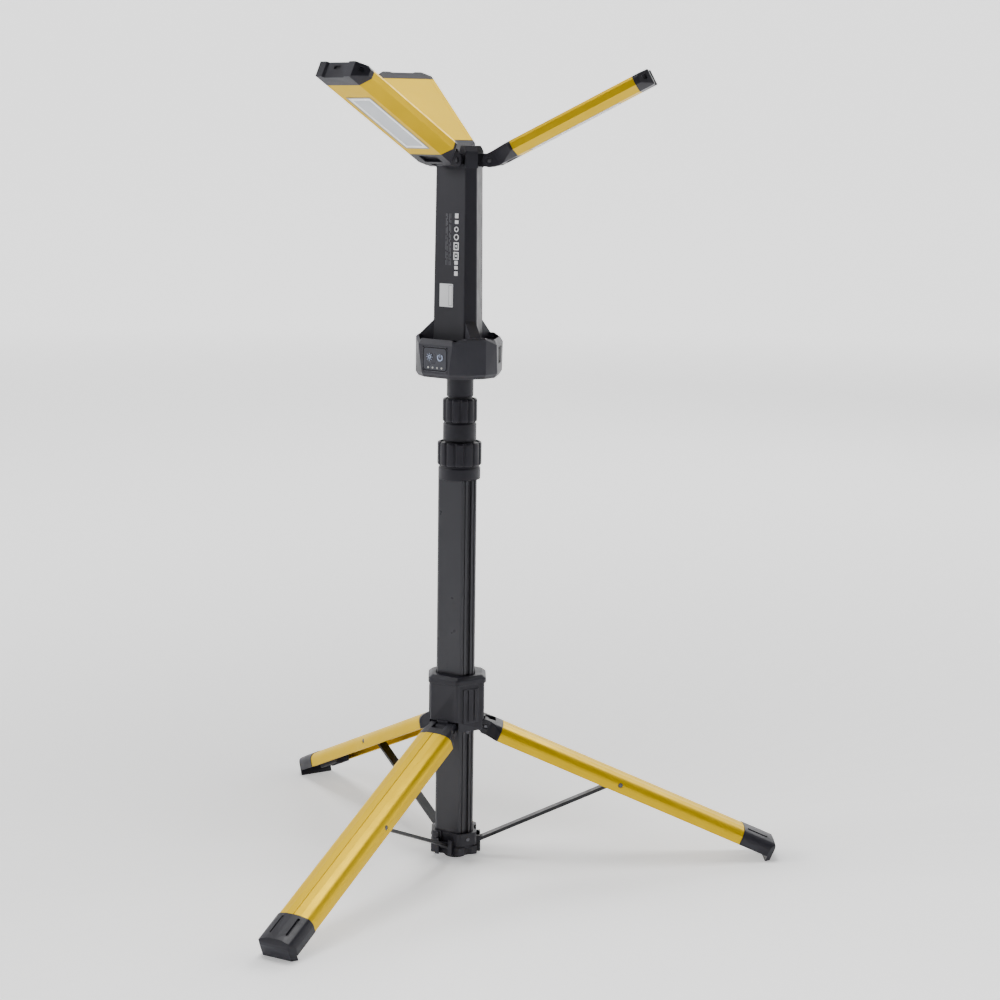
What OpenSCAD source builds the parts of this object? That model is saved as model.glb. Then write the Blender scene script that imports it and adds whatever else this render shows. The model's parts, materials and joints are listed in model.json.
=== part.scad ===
// Rechargeable three-head area work light on a telescopic mast with a folding tripod.
// Z is the mast axis and Z = 0 the floor. The right leg points along +X.
// "Spoke" pieces are drawn in the XZ plane and turned about Z to their own bearing.

/* [Stand] */
// Face-to-axis distance of the mast extrusion on the three sides that face the legs
mast_flat = 17.9; // [17.5:0.1:18.2]
// Face-to-axis distance of the mast extrusion on the three sides between the legs
mast_corner = 21.6; // [21.2:0.1:22]
// Height of the mast extrusion's lower end above the floor
mast_base = 6; // [5:0.5:7]
// Height of the mast extrusion's upper end above the floor
mast_top = 404.5; // [402:0.5:410]
// Diameter of the middle telescopic tube
middle_tube_d = 30; // [28:0.5:30]
// Diameter of the upper telescopic tube
upper_tube_d = 25; // [23:0.5:25]
// Wall thickness of both telescopic tubes
tube_wall = 1.2; // [1:0.1:1.2]

/* [Legs] */
// Slope of the spread legs below the horizontal, in degrees
leg_drop = 23.4; // [23:0.1:23.6]
// Distance of the leg hinge from the mast axis
hinge_r = 30; // [29.5:0.5:30.5]
// Height of the leg hinge above the floor, with the legs spread
hinge_z = 144; // [143.5:0.5:144.5]
// Half-width of the leg channel
leg_half = 20; // [19:0.5:20]
// Depth of the leg channel below its hinge line
leg_under = 8.3; // [8.2:0.1:8.4]
// Height of the leg channel above its hinge line
leg_over = 8.7; // [8.4:0.1:9]
// Sheet thickness of the leg channel
leg_wall = 1.6; // [1.4:0.1:1.8]
// Distance along the leg from its hinge to the strut pivot
strut_at = 155; // [154:0.5:156]
// Distance of the strut's lower pivot from the mast axis
ring_pivot_r = 23; // [22.8:0.1:23]
// Height of the strut's lower pivot above the floor
ring_pivot_z = 17; // [16.5:0.5:17.5]

/* [Lamp] */
// Turn of the lamp unit about the mast, relative to the legs, in degrees
lamp_turn = -9.6; // [-60:0.1:60]
// Height of the control box's underside above the floor
box_base = 511; // [510.5:0.5:511.5]
// Height of the head hinge pins above the floor
head_pin_z = 728; // [728:0.5:729]
// Distance of the head hinge pins from the mast axis
head_pin_r = 29.5; // [29.2:0.1:30]
// Angle of the open heads above the horizontal, in degrees
head_rise = 28; // [0:1:60]
// Length of a head from its pin to its tip
head_len = 179.5; // [178:0.5:179.5]
// Half-width of a head at its widest
head_half = 33; // [32:0.5:33]
// Half-width of the face of a head that carries the lens
led_face_half = 20.5; // [20:0.5:21]

/* [Hidden] */

yellow = [0.79, 0.67, 0.26];
black = [0.15, 0.15, 0.17];
anodised = [0.2, 0.2, 0.22];
steel = [0.62, 0.63, 0.65];
white = [0.92, 0.93, 0.95];
green = [0.1, 0.36, 0.2];
cell_blue = [0.2, 0.4, 0.75];

// Bearings of the spokes about Z, in degrees from +X
front_leg = -120;
right_leg = 0;
rear_leg = 120;
front_head = front_leg + lamp_turn;
right_head = right_leg + lamp_turn;
rear_head = rear_leg + lamp_turn;
corners = [60, 180, 300];

// Running clearance of pins and sliding tubes, and the looser gap of moulded parts
run = 0.05;
gap = 0.3;
// Overshoot of cuts past the faces that they open
cut = 1;

// Mast
mast_bore = 16;
mast_chamfer = 1.6;

// Middle tube and upper tube
middle_r = middle_tube_d / 2;
upper_r = upper_tube_d / 2;
middle_low = 60;
middle_high = 446;
upper_low = 80;
upper_high = 535;

// Twist locks: bottom, top and radius of the visible rings
lower_ferrule_z = [mast_top, 417];
lower_ferrule_r = 21.7;
lower_lock_z = [419, 443];
lower_lock_r = 23;
lower_neck_r = 20.4;
upper_ferrule_z = [444, 462.6];
upper_ferrule_r = 17.2;
upper_lock_z = [463.7, 487.4];
upper_lock_r = 18;
upper_neck_r = 15.2;

// Collar that slides on the mast
collar_flat = 28.3;
collar_low = 142;
collar_open = 152.5;
collar_high = 192;
rim_high = 200.4;
lug_half = 6.5;
lug_r = 6;
leg_pin_r = 2.5;

// Leg stations along the hinge line
leg_cap_end = 17;
leg_tip_start = 297;
leg_end = 335.2;
ear_r = 7.5;
ear_half = 13.5;

// Foot: recess that passes the base ring when the leg is folded, and the toe behind it
foot_half = 20.5;
foot_recess = [298.5, 329.8];
foot_recess_t = -3.3;
foot_recess_half = 17.9;
foot_over = 9.2;

// Struts
strut_half = 5;
strut_thick = 3.5;
trunnion_r = 1.6;
trunnion_half = 8;
strut_boss_r = 3.2;
strut_pin_r = 2.5;
strut_top = [hinge_r + strut_at * cos(leg_drop), hinge_z - strut_at * sin(leg_drop)];
strut_foot = [ring_pivot_r, ring_pivot_z];
strut_len = norm(strut_top - strut_foot);
strut_rise = atan2(strut_top[1] - strut_foot[1], strut_top[0] - strut_foot[0]);

// Lamp body
body_low = 548;
body_high = 720;
body_flat_low = 19.4;
body_flat_high = 17.8;
body_corner_low = 27.3;
body_corner_high = 25.7;
body_wall = 2.2;
top_high = 742;

// Control box: main faces, corner faces, deck and rim heights
box_flat = 40.4;
box_foot_half = 17.5;
box_top_half = 22;
box_corner = 44.5;
box_corner_half = 10.3;
box_deck = 546;
box_rim = 550;
box_rim_r = 37.4;
box_bevel_top = 515.5;
box_flat_top = 544.6;
box_corner_top = 552.5;
box_wall = 2.5;
gusset_high = 568;

// Control panel on the front face of the box
panel_w = 32;
panel_h = 25;
panel_z = 530.2;
panel_corner = 4;
button_r = 4.5;
button_gap = 13.7;
button_z = 532.2;
button_front = 41.3;
status_z = 521.6;
status_gap = 5.8;

// Charging port on the right face of the box
port_z = [525, 540];
port_half = 9;
port_depth = 1.5;
port_barrel_r = 0.7;

// Batteries
cell_r = 9.2;
cell_len = 65;
cell_ring = 11;
cell_low = 562;
cell_split = 2;

// Heads
led_t = -9;
back_t = 7;
head_cap_end = 28;
head_tip_start = 163;
head_wall = 1.8;
back_line = 26.5;
head_ear_r = 7;
head_ear_half = 17;
head_lug_half = 6.7;
head_pin_rad = 2.5;
lens_s = [40, 140];
lens_half = 15.3;

// ---- Shapes -------------------------------------------------------------------------

// Points of an arc about centre c
function arc(c, r, from, to, n = 6) =
    [for (i = [0 : n]) c + r * [cos(from + (to - from) * i / n), sin(from + (to - from) * i / n)]];

// Turns a list of 2D points about the origin
function turned(points, angle) =
    [for (p = points) [p[0] * cos(angle) - p[1] * sin(angle), p[0] * sin(angle) + p[1] * cos(angle)]];

// Mirrors the right half of an outline to the left and closes it
function mirrored(half) =
    concat(half, [for (i = [len(half) - 1 : -1 : 0]) [-half[i][0], half[i][1]]]);

// Hexagon with faces at distance a on bearings 0, 120, 240 and at distance b between them.
// Its six corners are cut back by c along both edges.
function alt_hex(a, b, c = 0) =
    let (half = (b - a / 2) / sin(60), other = (a - b / 2) / sin(60))
    [for (k = [0 : 2])
        each concat(
            turned([[a, -half + c], [a, half - c]], 120 * k),
            turned([[b, -other + c], [b, other - c]], 120 * k + 60))];

// Hexagonal bar between two heights
module hex_bar(a, b, low, high, c = 0) {
    translate([0, 0, low]) linear_extrude(high - low) polygon(alt_hex(a, b, c));
}

// Ring or tube between two heights
module ring(r, bore, low, high) {
    translate([0, 0, low]) difference() {
        cylinder(r = r, h = high - low, $fn = 96);
        translate([0, 0, -cut]) cylinder(r = bore, h = high - low + 2 * cut, $fn = 96);
    }
}

// Cylinder along Y, centred on the XZ plane
module cross_rod(r, half) {
    rotate([90, 0, 0]) cylinder(r = r, h = 2 * half, center = true, $fn = 48);
}

// Extrudes a section that is drawn as (Y, Z) from one X station to another
module along_x(from, to) {
    translate([from, 0, 0]) rotate([90, 0, 90]) linear_extrude(to - from) children();
}

// Extrudes a side view that is drawn as (X, Z) to both sides of the XZ plane
module across(half) {
    rotate([90, 0, 0]) linear_extrude(2 * half, center = true) children();
}

// Places a child on all three leg bearings, or on the three corners between them
module on_legs() {
    for (bearing = [front_leg, right_leg, rear_leg]) rotate([0, 0, bearing]) children();
}
module on_corners() {
    for (bearing = corners) rotate([0, 0, bearing]) children();
}

// Frames that start at a hinge pin, with X out along the leg or the head
module leg_frame(bearing) {
    rotate([0, 0, bearing]) translate([hinge_r, 0, hinge_z]) rotate([0, leg_drop, 0]) children();
}
module head_frame(bearing) {
    rotate([0, 0, bearing]) translate([head_pin_r, 0, head_pin_z])
        rotate([0, -head_rise, 0]) children();
}

// ---- Mast and base ------------------------------------------------------------------

// Aluminium extrusion with a grooved face between each pair of legs
module mast_profile() {
    groove_half = 2.3;
    groove_deep = 2.4;
    line_at = 5.4;
    line_half = 0.5;
    color(anodised) difference() {
        hex_bar(mast_flat, mast_corner, mast_base, mast_top, mast_chamfer);
        translate([0, 0, mast_base - cut])
            cylinder(r = mast_bore, h = mast_top - mast_base + 2 * cut, $fn = 96);
        on_corners() {
            translate([mast_corner - groove_deep, -groove_half, mast_base - cut])
                cube([groove_deep + cut, 2 * groove_half, mast_top - mast_base + 2 * cut]);
            for (side = [-1, 1])
                translate([mast_corner - 1, side * line_at - line_half, mast_base - cut])
                    cube([1 + cut, 2 * line_half, mast_top - mast_base + 2 * cut]);
        }
        // Tapped holes of the stop screws
        on_corners() translate([mast_bore - cut, 0, 139.5]) rotate([0, 90, 0])
            cylinder(r = 1.25, h = 8, $fn = 24);
    }
}

// Rubber plug that closes the mast and stands on the floor
module mast_end_plug() {
    color(black) {
        cylinder(r = 12, h = mast_base, $fn = 64);
        translate([0, 0, mast_base]) cylinder(r = mast_bore - run, h = 14, $fn = 64);
    }
}

// Moulded base ring with three slotted brackets for the struts
module base_ring() {
    slot_half = 5.6;
    slot_in = 19.3;
    bracket = [20, 26.2];
    bracket_half = 10;
    disc_r = 24;
    color(black) difference() {
        union() {
            hex_bar(20, 23, mast_base, 9, 2);
            translate([0, 0, 8.5]) cylinder(r = disc_r, h = 6.5, $fn = 96);
            hex_bar(21.4, 24.8, 14.9, 17.1, 2);
            hex_bar(22, 25.4, 17, 30, 2);
            on_legs() {
                translate([bracket[0], -bracket_half, mast_base + 0.8])
                    cube([bracket[1] - bracket[0], 2 * bracket_half, 17]);
                translate([0, 0, mast_base + 0.5]) linear_extrude(9) polygon([
                    [12, -19.9], [17.3, -19.9], [22.5, -17], [22.5, 17], [17.3, 19.9], [12, 19.9]]);
            }
        }
        hex_bar(mast_flat + 0.1, mast_corner + 0.1, mast_base - cut, 30 + cut, mast_chamfer);
        on_legs() {
            translate([slot_in, -slot_half, 0]) cube([20, 2 * slot_half, 40]);
            translate([20.7, -trunnion_half - gap, 0]) cube([4.15, 2 * (trunnion_half + gap), 40]);
        }
        on_corners() translate([19, 0, 23.5]) rotate([0, 90, 0]) cylinder(r = 1.5, h = 9, $fn = 24);
    }
}

// Stop screws below the collar and screws that hold the base ring
module mast_screws() {
    color(steel) on_corners() {
        translate([17, 0, 139.5]) rotate([0, 90, 0]) cylinder(r = 1.2, h = 3, $fn = 24);
        translate([19.3, 0, 139.5]) rotate([0, 90, 0]) cylinder(r = 2.1, h = 4, $fn = 32);
        translate([19.4, 0, 23.5]) rotate([0, 90, 0]) cylinder(r = 1.4, h = 6.5, $fn = 24);
        translate([25.4, 0, 23.5]) rotate([0, 90, 0]) cylinder(r = 2, h = 0.6, $fn = 32);
    }
}

// Fixed ring on the mast, with the collet neck that the lower lock squeezes
module lower_lock_ferrule() {
    color(black) rotate_extrude($fn = 96) polygon([
        [middle_r + run, lower_ferrule_z[0]], [lower_ferrule_r - 0.8, lower_ferrule_z[0]],
        [lower_ferrule_r, lower_ferrule_z[0] + 0.8], [lower_ferrule_r, lower_ferrule_z[1] - 1],
        [lower_ferrule_r - 1, lower_ferrule_z[1]], [lower_neck_r, lower_ferrule_z[1]],
        [lower_neck_r, 440.5], [lower_neck_r - 1.5, 441.5], [middle_r + run, 441.5]
    ]);
}

// Ribbed twist ring: a chamfered ring with flutes around it
module twist_ring(r, bore, span, flutes, flute_r) {
    edge = 1.4;
    difference() {
        rotate_extrude($fn = 96) polygon([
            [bore, span[0]], [r - edge, span[0]], [r, span[0] + edge],
            [r, span[1] - edge], [r - edge, span[1]], [bore, span[1]]
        ]);
        for (i = [0 : flutes - 1]) rotate([0, 0, i * 360 / flutes])
            translate([r + flute_r * 0.35, 0, span[0] - cut])
                cylinder(r = flute_r, h = span[1] - span[0] + 2 * cut, $fn = 24);
    }
}

module lower_lock_collar() {
    color(black) twist_ring(lower_lock_r, lower_neck_r + run, lower_lock_z, 14, 1.9);
}

// ---- Collar -------------------------------------------------------------------------

// Sliding collar: a hexagonal sleeve with a hinge lug under each leg face
module slide_collar() {
    panel_half = 9;
    panel_groove = 3.6;
    color(black) difference() {
        union() {
            hex_bar(collar_flat, collar_flat, collar_open, collar_high, 1.5);
            // Lips that run lower between the legs
            on_corners() translate([0, 0, collar_low]) linear_extrude(collar_open - collar_low)
                polygon([[16, -8.4], [collar_flat, -14.6], [collar_flat, 14.6], [16, 8.4]]);
            on_corners() translate([20, -panel_half, collar_low + 9])
                cube([collar_flat - 20 + 0.9, 2 * panel_half, collar_high - collar_low - 14]);
            on_legs() {
                translate([hinge_r, 0, hinge_z]) cross_rod(lug_r, lug_half);
                translate([19, -lug_half, hinge_z - lug_r])
                    cube([hinge_r - 19, 2 * lug_half, collar_open - hinge_z + lug_r + 1]);
            }
        }
        hex_bar(mast_flat + gap, mast_corner + gap, collar_low - cut, collar_high + cut,
            mast_chamfer);
        on_legs() translate([hinge_r, 0, hinge_z]) cross_rod(leg_pin_r + run, 20);
        on_corners() for (side = [-1, 1])
            translate([collar_flat - 0.3, side * panel_groove - 0.5, collar_open + 1])
                cube([4, 1, collar_high - collar_open - 7]);
    }
}

// Bevelled trim ring on top of the collar
module collar_top_rim() {
    rim = 30;
    color(black) difference() {
        union() {
            hex_bar(rim, rim, collar_high, rim_high - 3.4, 2);
            hull() {
                hex_bar(rim, rim, rim_high - 3.5, rim_high - 3.4, 2);
                hex_bar(rim - 4, rim - 4, rim_high - 0.1, rim_high, 2);
            }
        }
        hex_bar(mast_flat + gap, mast_corner + gap, collar_high - cut, rim_high + cut,
            mast_chamfer);
    }
}

module leg_hinge_pins() {
    color(steel) on_legs() translate([hinge_r, 0, hinge_z]) cross_rod(leg_pin_r, ear_half - 0.6);
}

// ---- Legs ---------------------------------------------------------------------------

// Outline of the leg section: straight sides, round shoulders and a slightly crowned top
function leg_outline(half, under, over, shoulder = 8.5, crown = 1.4) =
    mirrored(concat([[half, -under]],
        arc([half - shoulder, over - crown - shoulder], shoulder, 0, 90),
        [[0.4 * half, over - 0.35], [0.02, over]]));

// Yellow aluminium channel, open below, with a fine groove along its top
module leg_channel(bearing) {
    inner = leg_half - leg_wall;
    lip = 4;
    groove_half = 0.5;
    groove_deep = 0.6;
    color(yellow) leg_frame(bearing) difference() {
        along_x(leg_cap_end, leg_tip_start) polygon(leg_outline(leg_half, leg_under, leg_over));
        along_x(leg_cap_end - cut, leg_tip_start + cut)
            polygon(leg_outline(inner, leg_under - leg_wall, leg_over - leg_wall, 7.2));
        translate([leg_cap_end - cut, -leg_half + lip, -leg_under - cut])
            cube([leg_tip_start - leg_cap_end + 2 * cut, 2 * (leg_half - lip), leg_under]);
        translate([leg_cap_end - cut, -groove_half, leg_over - groove_deep])
            cube([leg_tip_start - leg_cap_end + 2 * cut, 2 * groove_half, groove_deep + cut]);
        translate([strut_at, 0, 0]) cross_rod(strut_pin_r + run, leg_half + cut);
    }
}

// Hinge end of the leg: a fork around the collar's lug and a plug inside the channel
module leg_root_cap(bearing) {
    slot_end = 8.3;
    color(black) leg_frame(bearing) difference() {
        union() {
            intersection() {
                along_x(-ear_r - cut, leg_cap_end)
                    polygon(leg_outline(leg_half, leg_under, leg_over));
                across(leg_half + cut) union() {
                    circle(r = ear_r, $fn = 48);
                    polygon([[-2, -leg_under], [leg_cap_end, -leg_under], [leg_cap_end, leg_over],
                        [9, leg_over], [0, ear_r], [-6, -3]]);
                }
                translate([0, 0, -20]) linear_extrude(40) polygon([
                    [-ear_r - cut, -ear_half], [4, -ear_half], [15, -leg_half],
                    [leg_cap_end, -leg_half], [leg_cap_end, leg_half], [15, leg_half],
                    [4, ear_half], [-ear_r - cut, ear_half]]);
            }
            along_x(leg_cap_end - cut, leg_cap_end + 10)
                polygon(leg_outline(leg_half - leg_wall - 0.15, leg_under - leg_wall - 0.15,
                    leg_over - leg_wall - 0.15, 7));
        }
        translate([-20, -lug_half - 0.4, -20]) cube([20 + slot_end, 2 * lug_half + 0.8, 40]);
        cross_rod(leg_pin_r + run, leg_half);
    }
}

// Foot: a cap with guide rails inside the channel, a recess for the base ring and a flat toe
module leg_foot(bearing) {
    rail = [6, 8.5];
    rail_start = 255;
    rail_under = 11.3;
    groove_at = 9;
    groove_half = 1.2;
    color(black) leg_frame(bearing) difference() {
        union() {
            intersection() {
                along_x(leg_tip_start, leg_end)
                    polygon(leg_outline(foot_half, 30, foot_over, 8.5));
                across(foot_half + cut) polygon([
                    [leg_tip_start, -leg_under], [foot_recess[1], -leg_under],
                    [foot_recess[1], -16], [leg_end, -16], [leg_end, 2], [leg_end - 1.2, 5],
                    [leg_end - 4.5, foot_over + cut], [leg_tip_start, foot_over + cut]]);
                translate([0, 0, -30]) linear_extrude(60) polygon([
                    [leg_tip_start, -foot_half], [leg_end - 6, -foot_half],
                    [leg_end, -foot_half + 4.5], [leg_end, foot_half - 4.5],
                    [leg_end - 6, foot_half], [leg_tip_start, foot_half]]);
            }
            for (side = [-1, 1])
                translate([rail_start, side > 0 ? rail[0] : -rail[1], -rail_under])
                    cube([leg_tip_start - rail_start + cut, rail[1] - rail[0],
                        rail_under + leg_over - leg_wall - 0.8]);
        }
        // Recess between the side walls that leaves room for the base ring and the strut end
        translate([foot_recess[0], -foot_recess_half, -20])
            cube([foot_recess[1] - foot_recess[0], 2 * foot_recess_half, 20 + foot_recess_t]);
        // Way of the folded strut between the guide rails
        translate([leg_tip_start - cut, -strut_half - 0.6, -20])
            cube([4, 2 * strut_half + 1.2, 20 + foot_recess_t]);
        // Grooves along the top
        for (side = [-1, 1])
            translate([leg_tip_start + 4, side * groove_at - groove_half, foot_over - 2])
                cube([23, 2 * groove_half, 3]);
        // Flat that stands on the floor
        rotate([0, -leg_drop, 0]) translate([0, -50, -hinge_z - 40]) cube([400, 100, 40]);
    }
}

// Pivot pin of the strut inside the channel, with two spacer shoulders
module leg_strut_pin(bearing) {
    spacer_half = 5;
    color(steel) leg_frame(bearing) translate([strut_at, 0, 0]) {
        cross_rod(strut_pin_r, leg_half - 0.2);
        for (side = [-1, 1])
            translate([0, side * (strut_half + 0.4 + spacer_half), 0]) cross_rod(4, spacer_half);
    }
}

// Flat strut from the base ring to the leg, with trunnions at its lower end
module strut(bearing) {
    color(black) rotate([0, 0, bearing]) translate([strut_foot[0], 0, strut_foot[1]])
        rotate([0, -strut_rise, 0]) difference() {
            union() {
                translate([0, -strut_half, -strut_thick / 2])
                    cube([strut_len, 2 * strut_half, strut_thick]);
                cross_rod(strut_boss_r, strut_half);
                cross_rod(trunnion_r, trunnion_half);
                translate([strut_len, 0, 0]) cross_rod(4.4, strut_half);
            }
            translate([strut_len, 0, 0]) cross_rod(strut_pin_r + run, strut_half + cut);
        }
}

module leg_front_channel() { leg_channel(front_leg); }
module leg_right_channel() { leg_channel(right_leg); }
module leg_rear_channel() { leg_channel(rear_leg); }
module leg_front_root_cap() { leg_root_cap(front_leg); }
module leg_right_root_cap() { leg_root_cap(right_leg); }
module leg_rear_root_cap() { leg_root_cap(rear_leg); }
module leg_front_foot() { leg_foot(front_leg); }
module leg_right_foot() { leg_foot(right_leg); }
module leg_rear_foot() { leg_foot(rear_leg); }
module leg_front_strut_pin() { leg_strut_pin(front_leg); }
module leg_right_strut_pin() { leg_strut_pin(right_leg); }
module leg_rear_strut_pin() { leg_strut_pin(rear_leg); }
module strut_front() { strut(front_leg); }
module strut_right() { strut(right_leg); }
module strut_rear() { strut(rear_leg); }

// ---- Telescopic tubes ---------------------------------------------------------------

module middle_tube() {
    color(anodised) ring(middle_r, middle_r - tube_wall, middle_low, middle_high);
}

// Plastic bush on the tube's lower end that runs in the mast
module middle_tube_bush() {
    color(black) ring(mast_bore - run, middle_r, middle_low + 2, middle_low + 24);
}

// Fixed ring on the middle tube, with the collet neck that the upper lock squeezes
module upper_lock_ferrule() {
    color(black) rotate_extrude($fn = 96) polygon([
        [middle_r, upper_ferrule_z[0]], [upper_ferrule_r - 0.7, upper_ferrule_z[0]],
        [upper_ferrule_r, upper_ferrule_z[0] + 0.7], [upper_ferrule_r, upper_ferrule_z[1] - 1.2],
        [upper_ferrule_r - 1.2, upper_ferrule_z[1]], [upper_neck_r, upper_ferrule_z[1]],
        [upper_neck_r, 485], [upper_neck_r - 1, 486], [upper_r + run, 486],
        [upper_r + run, middle_high], [middle_r, middle_high]
    ]);
}

module upper_lock_collar() {
    color(black) twist_ring(upper_lock_r, upper_neck_r + run, upper_lock_z, 12, 1.6);
}

module upper_tube() {
    color(anodised) ring(upper_r, upper_r - tube_wall, upper_low, upper_high);
}

module upper_tube_bush() {
    color(black) ring(middle_r - tube_wall - run, upper_r, upper_low + 2, upper_low + 22);
}

// ---- Lamp body ----------------------------------------------------------------------

// Socket that turns on the top of the upper tube
module head_spigot() {
    sleeve_r = 13.7;
    color(black) rotate_extrude($fn = 96) polygon([
        [upper_r + run, 489.5], [sleeve_r - 0.7, 489.5], [sleeve_r, 490.2],
        [sleeve_r, box_base + box_wall], [20, box_base + box_wall],
        [20, box_base + box_wall + 3.5], [15.4, box_base + box_wall + 3.5],
        [15.4, 538.5], [0, 538.5], [0, upper_high + 0.3], [upper_r + run, upper_high + 0.3]
    ]);
}

// Hexagonal battery housing, slightly wider at its foot
module lamp_housing() {
    color(black) rotate([0, 0, lamp_turn]) difference() {
        hull() {
            hex_bar(body_flat_low, body_corner_low, body_low, body_low + 0.1, 1);
            hex_bar(body_flat_high, body_corner_high, body_high - 0.1, body_high, 1);
        }
        hull() {
            hex_bar(body_flat_low - body_wall, body_corner_low - body_wall,
                body_low - cut, body_low, 1);
            hex_bar(body_flat_high - body_wall, body_corner_high - body_wall,
                body_high, body_high + cut, 1);
        }
    }
}

// Outline of the control box: flats of one half-width, corners of another, drawn in by a margin
function box_outline(inset = 0, flat_half = box_foot_half) =
    let (shrink = inset * tan(15))
    [for (k = [0 : 2])
        each concat(
            turned([[box_flat - inset, -flat_half + shrink],
                [box_flat - inset, flat_half - shrink]], 120 * k),
            turned([[box_corner - inset, -box_corner_half + shrink],
                [box_corner - inset, box_corner_half - shrink]], 120 * k + 60))];

// Faceted body of the control box: its flats widen upwards and its corners stand higher
module box_body() {
    slice = 0.1;
    hull() {
        translate([0, 0, box_base + box_wall]) linear_extrude(slice) polygon(box_outline(1.2));
        translate([0, 0, box_bevel_top]) linear_extrude(slice) polygon(box_outline());
        on_legs() {
            translate([box_rim_r, -box_top_half, box_flat_top - slice])
                cube([box_flat - box_rim_r, 2 * box_top_half, slice]);
            translate([box_rim_r - 2, 2.5 - box_top_half, box_rim - slice])
                cube([2.2, 2 * box_top_half - 5, slice]);
        }
        on_corners() {
            translate([30, -box_corner_half, box_corner_top - 2])
                cube([box_corner - 30, 2 * box_corner_half, slice]);
            translate([30, 1 - box_corner_half, box_corner_top - slice])
                cube([box_corner - 31.6, 2 * box_corner_half - 2, slice]);
        }
    }
}

// Shell of the control box with a pocket behind each rim for the tip of a folded head
module control_box() {
    color(black) rotate([0, 0, lamp_turn]) difference() {
        union() {
            difference() {
                box_body();
                // Pockets behind the rims
                on_legs() translate([0, 0, box_deck]) linear_extrude(20)
                    polygon(turned(mirrored([
                        [11, 12], [18.9, 17.26], [30.5, 24], [31.6, 29.6], [22.4, box_rim_r]]), -90));
            }
            // Ribs from the corners up to the housing
            on_corners() hull() {
                translate([25, -5.5, box_deck - 1]) cube([17, 11, box_corner_top - box_deck + 0.9]);
                translate([25, -5.5, gusset_high - 1]) cube([1.4, 11, 1]);
            }
        }
        // Seat of the battery housing
        hull() {
            hex_bar(body_flat_low + 0.05, body_corner_low + 0.05, body_low - 0.1, body_low, 1);
            hex_bar(body_flat_high + 0.05, body_corner_high + 0.05, body_high, body_high + 1, 1);
        }
        // Cavity, cable way and window of the panel
        translate([0, 0, box_base]) linear_extrude(box_deck - box_base - box_wall)
            polygon(box_outline(box_wall));
        translate([0, 0, box_base]) cylinder(r = 14, h = 60, $fn = 64);
        rotate([0, 0, front_leg]) {
            translate([box_flat - 2, -panel_w / 2, panel_z - panel_h / 2])
                cube([3, panel_w, panel_h]);
            translate([box_flat - 4, -panel_w / 2 + 2, panel_z - panel_h / 2 + 2])
                cube([4, panel_w - 4, panel_h - 4]);
        }
        // Recess of the port cover and window of the socket
        translate([box_flat - port_depth - 0.1, -port_half - 0.3, port_z[0] - 0.4])
            cube([3, 2 * port_half + 0.6, port_z[1] - port_z[0] + 2.1]);
        translate([box_flat - 4, -6, 528]) cube([5, 12, 8]);
    }
}

// Plate that closes the box from below and clamps the spigot
module box_base_plate() {
    slice = 0.1;
    color(black) rotate([0, 0, lamp_turn]) difference() {
        hull() {
            translate([0, 0, box_base + box_wall - slice]) linear_extrude(slice)
                polygon(box_outline(1.25));
            translate([0, 0, box_base]) linear_extrude(slice) polygon(box_outline(2.8));
        }
        translate([0, 0, box_base - cut]) cylinder(r = 13.9, h = 5, $fn = 64);
        on_corners() translate([34, 0, box_base - cut]) cylinder(r = 1.7, h = 5, $fn = 24);
    }
}

// Top cap: closes the housing and carries a hinge lug for each head
module top_cap() {
    block_half = 6.6;
    block_out = body_corner_high;
    color(black) rotate([0, 0, lamp_turn]) difference() {
        union() {
            hex_bar(body_flat_high, body_corner_high, body_high, body_high + 4, 1);
            hex_bar(body_flat_high - 2.4, body_flat_high, body_high + 4, 734, 1);
            on_corners() across(block_half) polygon([
                [8, body_high], [block_out, body_high], [block_out, 736.5],
                [block_out - 4.5, top_high], [12, top_high], [8, 737]]);
            on_legs() {
                translate([head_pin_r, 0, head_pin_z]) cross_rod(6.5, head_lug_half);
                translate([10, -head_lug_half, head_pin_z - 6.5])
                    cube([head_pin_r - 10, 2 * head_lug_half, 13]);
            }
        }
        on_legs() translate([head_pin_r, 0, head_pin_z]) cross_rod(head_pin_rad + run, 20);
        // Counterbores and holes of the cap screws
        on_corners() translate([18, 0, 0]) {
            translate([0, 0, 734]) cylinder(r = 2.9, h = 20, $fn = 32);
            translate([0, 0, body_high - cut]) cylinder(r = 1.6, h = 20, $fn = 24);
        }
    }
}

// Six cells in three columns of two
module battery_cells() {
    color(cell_blue) rotate([0, 0, lamp_turn]) on_corners()
        for (z = [cell_low, cell_low + cell_len + cell_split])
            translate([cell_ring, 0, z + 0.05]) cylinder(r = cell_r, h = cell_len - 0.1, $fn = 48);
}

// Holder that spaces the cells: three plates on a central spine
module battery_frame() {
    color(white) rotate([0, 0, lamp_turn]) {
        for (z = [cell_low - 3, cell_low + cell_len, cell_low + 2 * cell_len + cell_split])
            translate([0, 0, z]) linear_extrude(z < cell_low ? 3 : 2)
                polygon(alt_hex(15.1, 22.6, 1));
        translate([0, 0, cell_low - 1])
            cylinder(r = 1.5, h = 2 * cell_len + cell_split + 2, $fn = 32);
    }
}

// Circuit board behind the control panel
module control_board() {
    color(green) rotate([0, 0, front_head]) translate([33.2, -17, 514]) cube([1.6, 34, 28]);
}

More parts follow.
